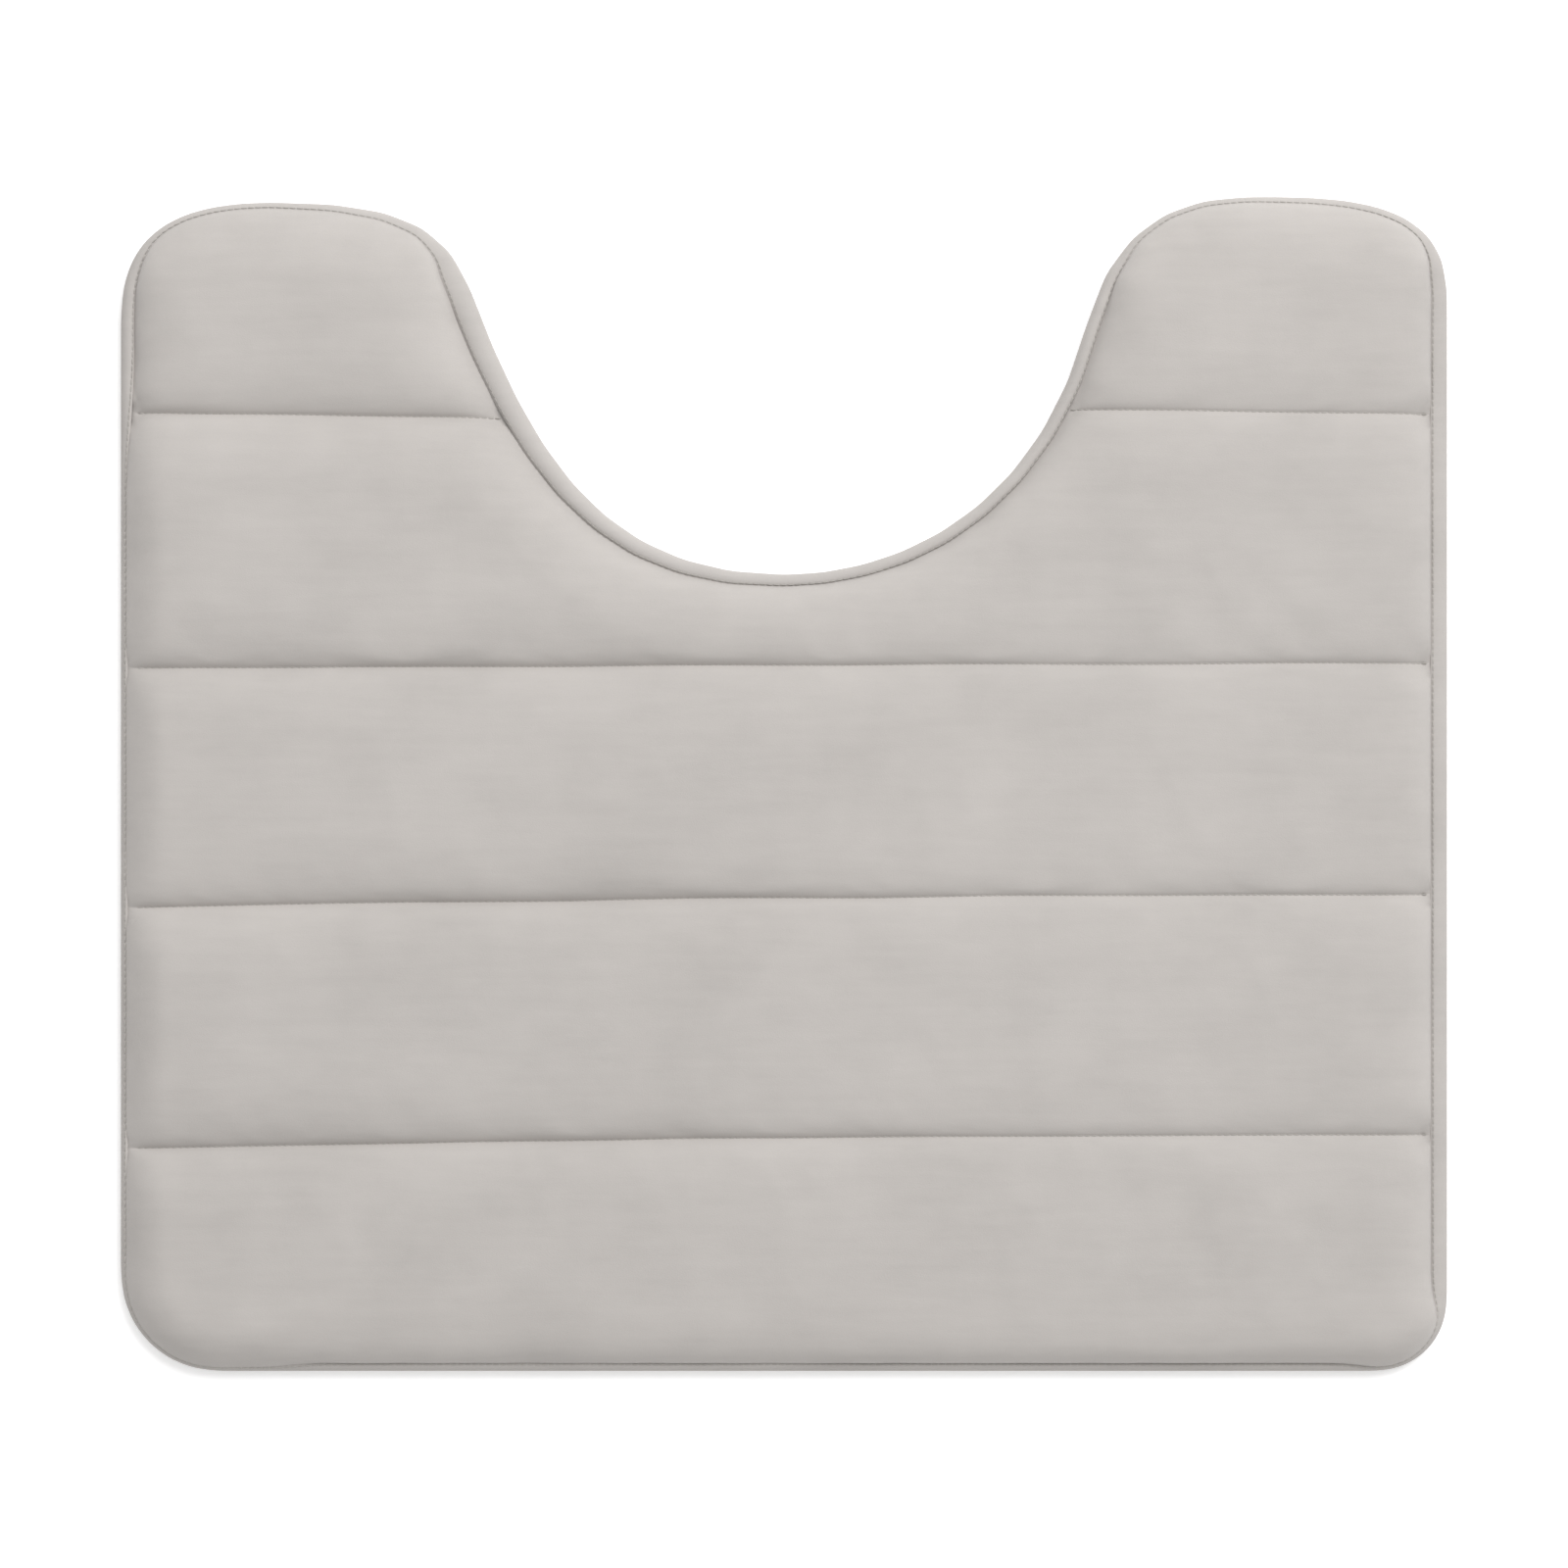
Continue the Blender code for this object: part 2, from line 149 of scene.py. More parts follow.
def smooth_step(value, low, high):
    share = np.clip((value - low) / (high - low), 0, 1)
    return share * share * (3 - 2 * share)


def blur(values, sigma, spacing):
    """The closed row of values, smoothed with a bell curve of this width."""
    reach = int(4 * sigma / spacing)
    weights = np.exp(-0.5 * (np.arange(-reach, reach + 1) * spacing / sigma) ** 2)
    weights /= weights.sum()
    return sum(w * np.roll(values, k, axis=0) for w, k in zip(weights, range(-reach, reach + 1)))


def wander(positions, wavelength, seed):
    """Smooth uneven values near -1 to 1 along a line, the same in each run."""
    return np.array([noise.noise((p / wavelength, seed, 0.37 * seed)) for p in positions]) * 1.6


# Edge of the mat, from the CAD


def node_points(name):
    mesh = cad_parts[name].data
    points = np.empty(3 * len(mesh.vertices))
    mesh.vertices.foreach_get("co", points)
    return points.reshape(-1, 3)


def longest_loop(name, height):
    """The longest ring of edges at one height of a CAD node, from its lowest x + y on."""
    bm = bmesh.new()
    bm.from_mesh(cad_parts[name].data)
    bmesh.ops.remove_doubles(bm, verts=bm.verts, dist=0.01 * MM)
    level = {v for v in bm.verts if abs(v.co.z - height) < 0.02 * MM}
    best, longest = None, 0
    while level:
        loop = [level.pop()]
        following = loop[0]
        while following:
            ahead = [e.other_vert(following) for e in following.link_edges]
            following = next((v for v in ahead if v in level), None)
            if following:
                level.remove(following)
                loop.append(following)
        points = np.array([v.co.xy for v in loop])
        length = np.linalg.norm(points - np.roll(points, 1, axis=0), axis=1).sum()
        if length > longest:
            best, longest = points, length
    bm.free()
    x, y = best.T
    turns_left = (x * np.roll(y, -1) - np.roll(x, -1) * y).sum() > 0
    best = best if turns_left else best[::-1]
    return np.roll(best, -best.sum(1).argmin(), axis=0)


def evenly(loop, count):
    """The closed line resampled at even steps."""
    closed = np.vstack([loop, loop[:1]])
    along = np.r_[0, np.linalg.norm(np.diff(closed, axis=0), axis=1).cumsum()]
    places = np.arange(count) / count * along[-1]
    return np.column_stack([np.interp(places, along, closed[:, k]) for k in (0, 1)])


class Rim:
    """The mat's outline at even steps, with inward normals and the width of its binding."""

    def __init__(self, count):
        stations = longest_loop("edge_binding", ROLL_MIDDLE)
        raw = evenly(stations, count)
        self.count = count
        self.step = np.linalg.norm(raw - np.roll(raw, 1, axis=0), axis=1).mean()
        self.points = blur(raw, OUTLINE_BLUR, self.step)
        along = np.roll(self.points, -1, axis=0) - np.roll(self.points, 1, axis=0)
        self.along = along / np.linalg.norm(along, axis=1, keepdims=True)
        self.normals = np.column_stack([-self.along[:, 1], self.along[:, 0]])
        self.tree = KDTree(count)
        for i, (x, y) in enumerate(self.points):
            self.tree.insert((x, y, 0), i)
        self.tree.balance()
        self.places = np.arange(count) * self.step
        self.calm = self.calm_stretches()
        self.deep = self.deep_stretches()
        self.width = self.binding_width(stations) * (1 - NARROWED * self.calm)

    def calm_stretches(self):
        """1 where the panel swells over the binding and hides its seam, and 0 elsewhere."""
        x, y = self.points.T
        lobe_tops = LOBE_TOPS_CALM * smooth_step(y, 0.236, 0.256)
        right_corner = smooth_step(x, 0.252, 0.272) * smooth_step(-y, 0.234, 0.248)
        left_corner = smooth_step(-x, 0.205, 0.240) * smooth_step(-y, 0.200, 0.235)
        left_side = smooth_step(-x, 0.29, 0.30) * smooth_step(-y, -0.20, -0.13)
        front_edge = FRONT_CALM * smooth_step(-y, 0.245, 0.260)
        swollen = np.max([lobe_tops, right_corner, left_corner, left_side, front_edge], axis=0)
        return blur(swollen, STRETCH_BLUR, self.step)

    def deep_stretches(self):
        """1 where the ditch is widest and deepest: the cut-out's flanks and the left lobe's side."""
        x, y = self.points.T
        flanks = smooth_step(y, 0.08, 0.12) * smooth_step(-y, -0.240, -0.215) * (np.abs(x) < 0.25)
        lobe_side = smooth_step(y, 0.15, 0.19) * smooth_step(-y, -0.235, -0.215) * (x < -0.25)
        return blur(flanks + LOBE_SIDE_DEEP * lobe_side, STRETCH_BLUR, self.step)

    def binding_width(self, stations):
        """How far in the ditch beside the binding's lip is, at each step."""
        depth, place = self.depth_and_place(node_points("edge_binding")[:, :2])
        _, known = self.depth_and_place(stations)
        known = np.sort(known % self.count)
        apart = np.abs(place[None] - known[:, None])
        apart = np.minimum(apart, self.count - apart)
        lip = np.array([depth[row * self.step < STATION_REACH].max() for row in apart])
        turn = np.r_[known[-1] - self.count, known, known[0] + self.count]
        width = np.interp(np.arange(self.count), turn, np.r_[lip[-1], lip, lip[0]])
        return blur(width, WIDTH_BLUR, self.step) + LIP_CLEARANCE

    def depth_and_place(self, xy):
        """Distance inside the outline, and where along it, in steps."""
        near = np.array([self.tree.find((x, y, 0))[1] for x, y in xy])
        offset = xy - self.points[near]
        depth = (offset * self.normals[near]).sum(1)
        slip = (offset * self.along[near]).sum(1) / self.step
        return depth, near + np.clip(slip, -0.5, 0.5)

    def at(self, values, place):
        """Values given at the steps, read in between."""
        return np.interp(place % self.count, np.arange(self.count + 1), np.r_[values, values[:1]])

    def inset(self, depth):
        return self.points + self.normals * np.reshape(depth, (-1, 1))


# Seams, from the CAD threads


BOW_LEVEL = 0.35
SEAM_WANDER = 0.35 * MM
SEAM_WAVELENGTH = 70 * MM


class Seam:
    """A quilting seam: a nearly straight line from left to right with a slight bow."""

    def __init__(self, name, bow, seed):
        self.name = name
        points = node_points(f"needle_thread_{name}_seam")
        at_left = points[:, 0] < points[:, 0].min() + MM
        at_right = points[:, 0] > points[:, 0].max() - MM
        self.x0, self.y0 = points[at_left, :2].mean(0)
        self.x1, self.y1 = points[at_right, :2].mean(0)
        self.bow = bow
        self.seed = seed

    def y_at(self, x):
        share = (x - self.x0) / (self.x1 - self.x0)
        arch = 4 * share * (1 - share)
        straight = self.y0 + (self.y1 - self.y0) * share
        waver = SEAM_WANDER * wander(x, SEAM_WAVELENGTH, self.seed)
        return straight + self.bow * (arch - BOW_LEVEL) + waver


left_lobe = Seam("left_lobe", 0.2 * MM, 11)
right_lobe = Seam("right_lobe", -0.3 * MM, 12)
rear = Seam("rear", 0.4 * MM, 13)
middle = Seam("middle", 1.4 * MM, 14)
front = Seam("front", 1.6 * MM, 15)
SEAMS = (left_lobe, right_lobe, rear, middle, front)
rim = Rim(RIM_STEPS)


# Plan: lines that follow the seams and the edge. Those of the seams reach a little past the mat,
# with a point each 0.8 mm.

GRID_X = np.linspace(-0.31, 0.31, 776)
PAST_FRONT = -0.285
PAST_REAR = 0.285
ROW_END = 0.3
FAR = 1.0

# Beside a seam the rows run on to the rim, and elsewhere the rim's own rings take their place
CORRIDOR = 5.4 * MM
CLEAR_OF_RIM = 0.45
CLEAR_OF_RINGS = 0.5
MERGE = 1e-7


def lobe_line(x):
    """The two lobe seams as one line, joined across the cut-out."""
    left = left_lobe.y_at(np.minimum(x, left_lobe.x1))
    right = right_lobe.y_at(np.maximum(x, right_lobe.x0))
    return left + (right - left) * smooth_step(x, left_lobe.x1, right_lobe.x0)


LINES = [
    np.full(len(GRID_X), PAST_FRONT),
    front.y_at(GRID_X),
    middle.y_at(GRID_X),
    rear.y_at(GRID_X),
    lobe_line(GRID_X),
    np.full(len(GRID_X), PAST_REAR),
]


def seam_gap(xy):
    """Distance from each point to the nearest seam line."""
    heights = np.array([np.interp(xy[:, 0], GRID_X, line) for line in LINES[1:5]])
    return np.abs(xy[:, 1] - heights).min(0)


def rows(offsets, fill):
    """Lines of the grid: close together beside each seam, and evenly spread in between."""
    made = []
    for k in range(len(LINES) - 1):
        low, high = LINES[k], LINES[k + 1]
        span = float(np.mean(high - low))
        first = [] if k == 0 else offsets
        last = [] if k == len(LINES) - 2 else offsets
        start = first[-1] if first else 0
        end = span - (last[-1] if last else 0)
        count = max(2, round((end - start) / fill))
        inner = list(np.linspace(start, end, count + 1)[1:-1])
        if k > 0:
            made.append((low, 0.0))
        for d in list(first) + inner + [span - o for o in reversed(last)]:
            gap = min(d if k > 0 else FAR, span - d if k < len(LINES) - 2 else FAR)
            made.append((low + (high - low) * d / span, gap))
    return made


class Plan:
    """Points and triangles inside the cover's cut edge.

    Points are a column apart along the rows, which lie at these offsets from each seam and about
    a fill apart elsewhere. The rings lie at these depths inside the ditch beside the binding.
    """

    def __init__(self, column, offsets, fill, depths, ring_step):
        self.points, self.edges = [], []
        xs = np.arange(-ROW_END, ROW_END + 0.1 * MM, column)
        widest = depths[-1]
        tuck = rim.inset(rim.width * TUCKED_SHARE)[::ring_step]
        self.add(tuck, True)
        border = list(range(len(tuck)))
        ditch = rim.inset(rim.width)[::ring_step]
        self.add(ditch, True)
        self.add(rim.inset(rim.width - TUCK_REACH)[::ring_step], True)
        for depth in depths:
            ring = rim.inset(rim.width + depth)[::ring_step]
            kept = seam_gap(ring) > CORRIDOR
            self.add(ring, True, kept)
        for line, gap in rows(offsets, fill):
            row = np.column_stack([xs, np.interp(xs, GRID_X, line)])
            near = gap <= CORRIDOR + 0.01 * MM
            depth, place = rim.depth_and_place(row)
            depth = depth - rim.at(rim.width, place)
            kept = depth > (CLEAR_OF_RIM * column if near else widest + CLEAR_OF_RINGS * column)
            self.add(row, False, kept)
        flat = [Vector(p) for p in np.concatenate(self.points)]
        verts, _, faces, *_ = delaunay_2d_cdt(flat, self.edges, [border], 1, MERGE)
        self.xy = np.array([tuple(v) for v in verts])
        self.faces = [tuple(f) for f in faces]
        depth, self.place = rim.depth_and_place(self.xy)
        self.depth = depth - rim.at(rim.width, self.place)
        self.gap = seam_gap(self.xy)

    def add(self, line, closed, kept=None):
        first = sum(len(p) for p in self.points)
        kept = np.ones(len(line), bool) if kept is None else kept
        number = np.cumsum(kept) - 1 + first
        self.points.append(line[kept])
        for i in range(len(line) - (not closed)):
            j = (i + 1) % len(line)
            if kept[i] and kept[j]:
                self.edges.append((int(number[i]), int(number[j])))


def swell(distance, reach, power, softness):
    """Share of the full height at this distance from a pinch with a rounded bottom."""
    rounded = np.sqrt(distance**2 + softness**2) - softness
    share = np.clip(rounded / reach, 0, 1)
    return (1 - (1 - share) ** power) ** (1 / power)


def noise_at(xy, scale_x, scale_y, seed):
    return np.array([noise.noise((x / scale_x, y / scale_y, seed)) for x, y in xy])


def to_the_right(x):
    """0 in the left part of the mat and 1 in the right part."""
    return smooth_step(x, -0.12, 0.15)


def rim_floor(calm):
    """Height of the cover in the ditch beside the binding."""
    flush = ROLL_MIDDLE + (ROLL_RADIUS_CALM + ROLL_THICKNESS / 2) * math.sin(LIP_ANGLE_CALM)
    return RIM_FLOOR + (flush - RIM_FLOOR) * calm


def rim_swell(plan, inside, uneven, calm, deep):
    """Share of the full height beside the rim: steep, but a gentle slope where it is calm."""
    power = RIM_POWER - RIM_POWER_DEEP * deep
    steep = swell(inside * uneven, RIM_REACH, power, RIM_SOFTNESS + RIM_SOFTNESS_DEEP * deep)
    on_lobes = smooth_step(plan.xy[:, 1], 0.18, 0.24)
    reach = RIM_REACH_CALM + (RIM_REACH_CALM_LOBES - RIM_REACH_CALM) * on_lobes
    gentle = 1 - (1 - np.clip(inside / reach, 0, 1)) ** 2
    return steep + (gentle - steep) * calm


def cover_height(plan):
    """Height of the cover's face over the plan, before its cloth settles."""
    x = plan.xy[:, 0]
    inside = np.maximum(plan.depth, 0)
    uneven = 1 + UNEVEN * noise_at(plan.xy, UNEVEN_X, UNEVEN_Y, UNEVEN_SEED)
    power = SEAM_POWER + SEAM_POWER_RIGHT * to_the_right(x)
    softness = SEAM_SOFTNESS + SEAM_SOFTNESS_RIGHT * to_the_right(x)
    seam_share = swell(plan.gap * uneven, SEAM_REACH, power, softness)
    calm = rim.at(rim.calm, plan.place)
    deep = rim.at(rim.deep, plan.place)
    rim_share = rim_swell(plan, inside, uneven, calm, deep)
    low_seam = SEAM_FLOOR + SEAM_FLOOR_RIGHT * to_the_right(x)
    low_rim = rim_floor(calm) - RIM_DROP_DEEP * deep
    low_rim = low_rim - SEAM_END_DROP * np.exp(-((plan.gap / SEAM_END_REACH) ** 2))
    pinch = low_seam + (low_rim - low_seam) * (1 - rim_share)
    middle = np.clip(np.minimum(plan.gap, inside) / CROWN_REACH, 0, 1)
    crown = TOP - CROWN_CLEARANCE - CROWN * (1 - middle) ** 2
    height = pinch + (crown - pinch) * seam_share * rim_share
    dimple = np.exp(-(plan.gap**2 + inside**2) / DIMPLE_REACH**2)
    dimple = dimple * (1 - calm) * (1 - DIMPLE_LESS_DEEP * deep)
    height = height - DIMPLE_DEPTH * dimple * smooth_step(inside, 0, DIMPLE_START)
    height = np.maximum(height, LOWEST_FACE)
    under_lip = smooth_step(-plan.depth, 0, TUCK_REACH)
    return height + (TUCKED_EDGE - height) * under_lip


# Cloth: the cover is cut a little full, so it puckers where the seams and the binding hold it

SETTLE_FRAMES = 24
MOST_SHIFT = 0.45 * MM
CUT_FULL = 0.006
HELD_REACH = 1.3 * MM
FOAM_HOLD = 0.02
FOAM_HOLD_MIDDLE = 0.10
FOAM_HOLD_REACH = 45 * MM


def hold(plan):
    """How firmly each point is held: fully at the stitches, lightly by the foam elsewhere."""
    near = np.minimum(plan.gap, np.maximum(plan.depth, 0))
    by_foam = FOAM_HOLD + FOAM_HOLD_MIDDLE * smooth_step(near, 0, FOAM_HOLD_REACH)
    return np.where(near < HELD_REACH, 1.0, by_foam)


def settle(plan, heights):
    """How far each point of the cover moves when its cloth is let go over the foam."""
    start = np.column_stack([plan.xy, heights])
    trial = mesh_object("settling", start, plan.faces, cover_velvet)
    firm = trial.vertex_groups.new(name="held")
    for i, weight in enumerate(hold(plan)):
        firm.add([i], float(weight), "REPLACE")
    cloth = trial.modifiers.new("cloth", "CLOTH")
    cloth.point_cache.frame_start = 1
    cloth.point_cache.frame_end = SETTLE_FRAMES
    cloth.collision_settings.use_collision = False
    put = cloth.settings
    put.quality = 6
    put.mass = 0.12
    put.air_damping = 4
    put.tension_stiffness = put.compression_stiffness = 20
    put.shear_stiffness = 6
    put.bending_stiffness = 3
    put.vertex_group_mass = "held"
    put.shrink_min = put.shrink_max = -CUT_FULL
    put.use_pressure = True
    put.uniform_pressure_force = 0.6
    put.effector_weights.gravity = 0
    scene = bpy.context.scene
    for step in range(1, SETTLE_FRAMES + 1):
        scene.frame_set(step)
    shape = trial.evaluated_get(bpy.context.evaluated_depsgraph_get()).to_mesh()
    ended = np.empty(3 * len(start))
    shape.vertices.foreach_get("co", ended)
    shift = ended.reshape(-1, 3) - start
    scene.frame_set(1)
    bpy.data.objects.remove(trial)
    length = np.linalg.norm(shift, axis=1, keepdims=True) + 1e-9
    return evened(shift / length * MOST_SHIFT * np.tanh(length / MOST_SHIFT), plan.faces)


def evened(values, faces, passes=2):
    """Values at the points, each moved towards the mean of its neighbours."""
    sides = np.array(sorted({tuple(sorted(e)) for f in faces for e in zip(f, f[1:] + f[:1])}))
    a, b = sides.T
    ties = np.bincount(np.r_[a, b], minlength=len(values))[:, None]
    for _ in range(passes):
        total = np.zeros_like(values)
        np.add.at(total, a, values[b])
        np.add.at(total, b, values[a])
        values = (values + total / ties) / 2
    return values


def lowest_near(points, xy, reach):
    """At each place the lowest height among the points within reach."""
    tree = KDTree(len(points))
    for i, (x, y, _) in enumerate(points):
        tree.insert((x, y, 0), i)
    tree.balance()
    lowest = []
    for x, y in xy:
        near = [i for _, i, _ in tree.find_range((x, y, 0), reach)]
        lowest.append(points[near, 2].min())
    return np.array(lowest)


def carried(values, plan, xy):
    """Values given at the plan's points, read at other points."""
    flat = BVHTree.FromPolygons([(x, y, 0) for x, y in plan.xy], plan.faces)
    out = np.zeros((len(xy), values.shape[1]))
    for i, (x, y) in enumerate(xy):
        spot, _, face, _ = flat.find_nearest((x, y, 0))
        a, b, c = plan.faces[face]
        pa, pb, pc = plan.xy[a], plan.xy[b], plan.xy[c]
        area = (pb[0] - pa[0]) * (pc[1] - pa[1]) - (pb[1] - pa[1]) * (pc[0] - pa[0])
        u = ((spot.x - pa[0]) * (pc[1] - pa[1]) - (spot.y - pa[1]) * (pc[0] - pa[0])) / area
        v = ((pb[0] - pa[0]) * (spot.y - pa[1]) - (pb[1] - pa[1]) * (spot.x - pa[0])) / area
        out[i] = values[a] * (1 - u - v) + values[b] * u + values[c] * v
    return out


# Pieces


def mesh_object(name, verts, faces, material):
    mesh = bpy.data.meshes.new(name)
    mesh.from_pydata([tuple(v) for v in verts], [], faces)
    mesh.validate()
    mesh.shade_smooth()
    mesh.materials.append(material)
    made = bpy.data.objects.new(name, mesh)
    bpy.context.scene.collection.objects.link(made)
    return made


def border_of(faces):
    sides = {(a, b) for f in faces for a, b in zip(f, f[1:] + f[:1])}
    return [(a, b) for a, b in sides if (b, a) not in sides]


def layer(name, xy, faces, bottom, top, material):
    """A closed sheet between two heights over the plan."""
    count = len(xy)
    verts = np.vstack([np.column_stack([xy, bottom]), np.column_stack([xy, top])])
    all_faces = [tuple(reversed(f)) for f in faces]
    all_faces += [tuple(i + count for i in f) for f in faces]
    all_faces += [(a, b, b + count, a + count) for a, b in sorted(border_of(faces))]
    return mesh_object(name, verts, all_faces, material)


BACKING_LIFT = 2.1 * MM
LIFT_REACH = 12 * MM
BACKING_DRAWN = 0.7 * MM
DRAWN_REACH = 2.5 * MM


def backing_height(depth, gap):
    """Underside of the backing: up to the binding at the edge, and drawn up by the seams."""
    lift = 1 - smooth_step(depth, 0, LIFT_REACH)
    drawn = np.exp(-((gap / DRAWN_REACH) ** 2))
    return DOTS_HEIGHT + BACKING_LIFT * lift + BACKING_DRAWN * drawn * (1 - lift)


ROLL_POINTS = 19
LIP_END = 0.8
NEARLY_THERE = 0.98
PLUMP_WAVES = ((0.05, 45 * MM, 21), (0.02, 9 * MM, 22))
MOST_PLUMP = 1.08


def roll_point(width, calm, deep, share, offset):
    """(depth, height) on the rolled strip, offset outwards from its middle line.

    The share runs from -1 at the lower lip to 1 at the upper lip, and only the upper half changes
    with calm and deep.
    """
    half = ROLL_THICKNESS / 2
    lip_angle, radius, gap = LOWER_LIP_ANGLE, ROLL_RADIUS, 0.0
    if share > 0:
        lip_angle = LIP_ANGLE + (LIP_ANGLE_CALM - LIP_ANGLE) * calm
        lip_angle += LIP_ANGLE_DEEP * deep
        radius = ROLL_RADIUS + (ROLL_RADIUS_CALM - ROLL_RADIUS) * calm + ROLL_RADIUS_DEEP * deep
        gap = LIP_GAP + (LIP_GAP_CALM - LIP_GAP) * calm
    reach = (width - gap - 2 * half) / (1 - math.cos(lip_angle))
    turn = share * lip_angle
    middle = np.array([-reach * math.cos(turn), radius * math.sin(turn)])
    normal = np.array([-math.cos(turn) / reach, math.sin(turn) / radius])
    normal /= np.linalg.norm(normal)
    return np.array([half + reach, ROLL_MIDDLE]) + middle + offset * normal


def roll_section(width, calm, deep):
    """Points round the strip's section: up its outside from the lower lip, and back inside."""
    half = ROLL_THICKNESS / 2
    shares = np.linspace(-1, 1, ROLL_POINTS)
    outside = [roll_point(width, calm, deep, a, half) for a in shares]
    inside = [roll_point(width, calm, deep, a, -half) for a in shares[::-1]]
    ends = []
    for share in (1, -1):
        here = roll_point(width, calm, deep, share, 0)
        run = here - roll_point(width, calm, deep, NEARLY_THERE * share, 0)
        ends.append(here + run / np.linalg.norm(run) * half * LIP_END)
    return np.array(outside + [ends[0]] + inside + [ends[1]])


def roll(material):
    """The binding: a strip rolled round the edge, with small puckers from its stitches."""
    count = rim.count
    plump = 1.0
    for much, wave, seed in PLUMP_WAVES:
        plump = plump + much * wander(rim.places, wave, seed)
    verts = []
    for i in range(count):
        section = roll_section(rim.width[i], rim.calm[i], rim.deep[i])
        section[:, 1] = ROLL_MIDDLE + (section[:, 1] - ROLL_MIDDLE) * min(plump[i], MOST_PLUMP)
        xy = rim.points[i] + section[:, :1] * rim.normals[i]
        verts.append(np.column_stack([xy, section[:, 1]]))
    size = len(verts[0])
    faces = []
    for i in range(count):
        here, there = i * size, (i + 1) % count * size
        faces += [
            (here + j, there + j, there + (j + 1) % size, here + (j + 1) % size) for j in range(size)
        ]
    return mesh_object("binding", np.concatenate(verts), faces, material)


def tube_sides(first, rings, sides):
    """Faces between rings of points, each ring straight after the one before."""
    made = []
    for r in range(rings - 1):
        for k in range(sides):
            a, b = first + r * sides + k, first + r * sides + (k + 1) % sides
            made.append((a, b, b + sides, a + sides))
    return made


STITCH_SHAPE = ((0.03, -1.6), (0.16, 0.3), (0.5, 1.0), (0.84, 0.3), (0.97, -1.6))
THIN_END = 0.75


def stitches(name, holes, rise, material):
    """One short thread from each needle hole to the next, arched away from the cloth.

    STITCH_SHAPE gives the share of the way along, and the lift as a share of the rise.
    """
    turns = np.arange(THREAD_SIDES) / THREAD_SIDES * 2 * math.pi
    verts, faces = [], []
    for start, end in zip(holes[:-1], holes[1:]):
        along = (end - start) / np.linalg.norm(end - start)
        across = np.cross((0, 0, 1), along)
        across /= np.linalg.norm(across)
        upward = np.cross(along, across)
        first = len(verts)
        for share, lift in STITCH_SHAPE:
            centre = start + (end - start) * share + upward * lift * rise
            girth = THREAD_RADIUS * (THIN_END if lift < 0 else 1.0)
            verts += [centre + girth * (math.cos(t) * across + math.sin(t) * upward) for t in turns]
        faces += tube_sides(first, len(STITCH_SHAPE), THREAD_SIDES)
        faces.append(tuple(first + k for k in reversed(range(THREAD_SIDES))))
        last = first + (len(STITCH_SHAPE) - 1) * THREAD_SIDES
        faces.append(tuple(last + k for k in range(THREAD_SIDES)))
    return mesh_object(name, verts, faces, material)


def evenly_spaced(line, pitch):
    """Points along an open line, a stitch apart."""
    along = np.r_[0, np.linalg.norm(np.diff(line, axis=0), axis=1).cumsum()]
    places = np.linspace(0, along[-1], max(2, round(along[-1] / pitch)) + 1)
    return np.column_stack([np.interp(places, along, line[:, k]) for k in range(line.shape[1])])


DOT_RINGS = ((1.30, 1.05), (1.45, 0.65), (1.20, 0.22), (0.60, 0.02))
DOT_SIDES = 8


def dots(name, centres, material):
    """Domes of soft plastic printed on the backing, from rings of a radius at a height, in mm."""
    turns = np.arange(DOT_SIDES) / DOT_SIDES * 2 * math.pi
    verts, faces = [], []
    for x, y in centres:
        first = len(verts)
        for radius, z in DOT_RINGS:
            out = radius * MM
            verts += [(x + out * math.cos(t), y + out * math.sin(t), z * MM) for t in turns]
        faces += [(b, a, d, c) for a, b, c, d in tube_sides(first, len(DOT_RINGS), DOT_SIDES)]
        faces.append(tuple(first + k for k in range(DOT_SIDES)))
        last = first + (len(DOT_RINGS) - 1) * DOT_SIDES
        tip = last + DOT_SIDES
        verts.append((x, y, 0.0))
        faces += [(last + (k + 1) % DOT_SIDES, last + k, tip) for k in range(DOT_SIDES)]
    return mesh_object(name, verts, faces, material)


# Materials


